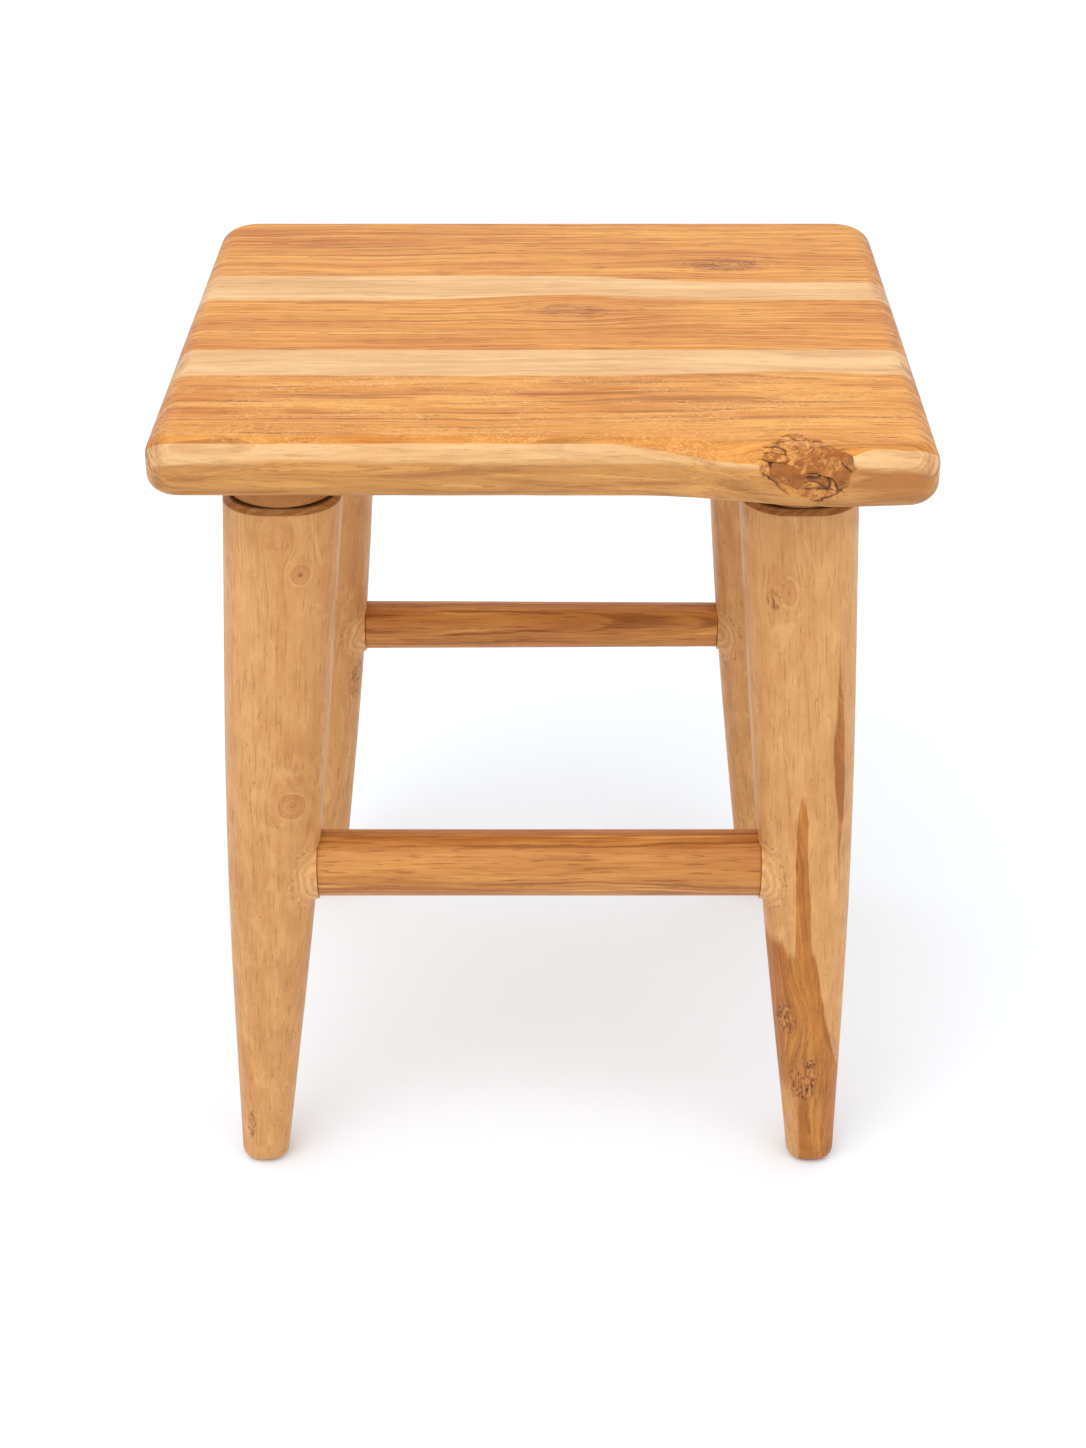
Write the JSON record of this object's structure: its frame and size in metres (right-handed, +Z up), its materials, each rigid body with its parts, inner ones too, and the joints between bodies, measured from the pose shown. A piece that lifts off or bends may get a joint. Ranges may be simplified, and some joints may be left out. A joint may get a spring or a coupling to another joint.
{
  "type": "milking stool",
  "caption": "Low rectangular wooden stool with a thick live-edged seat, splayed tapered legs set on round collars, and two round stretchers.",
  "frame": {"origin": "on the floor, under the middle of the seat's overall plan", "axes": "+Z up; the seat's live edge faces -Y; +X is to the right of someone who faces the live edge"},
  "size_m": [0.3777, 0.3272, 0.45],
  "materials": {
    "seat_board": "clear satin varnish over heartwood and pale sapwood",
    "collar": "clear satin varnish",
    "leg": "clear satin varnish, mostly pale sapwood",
    "stretcher": "clear satin varnish over heartwood"
  },
  "bodies": {
    "root": {"seat_back_board": "seat_board", "seat_middle_board": "seat_board", "seat_front_board": "seat_board", "collar_front_left": "collar", "collar_front_right": "collar", "collar_back_left": "collar", "collar_back_right": "collar", "leg_front_left": "leg", "leg_front_right": "leg", "leg_back_left": "leg", "leg_back_right": "leg", "stretcher_front": "stretcher", "stretcher_back": "stretcher"}
  },
  "joints": []
}
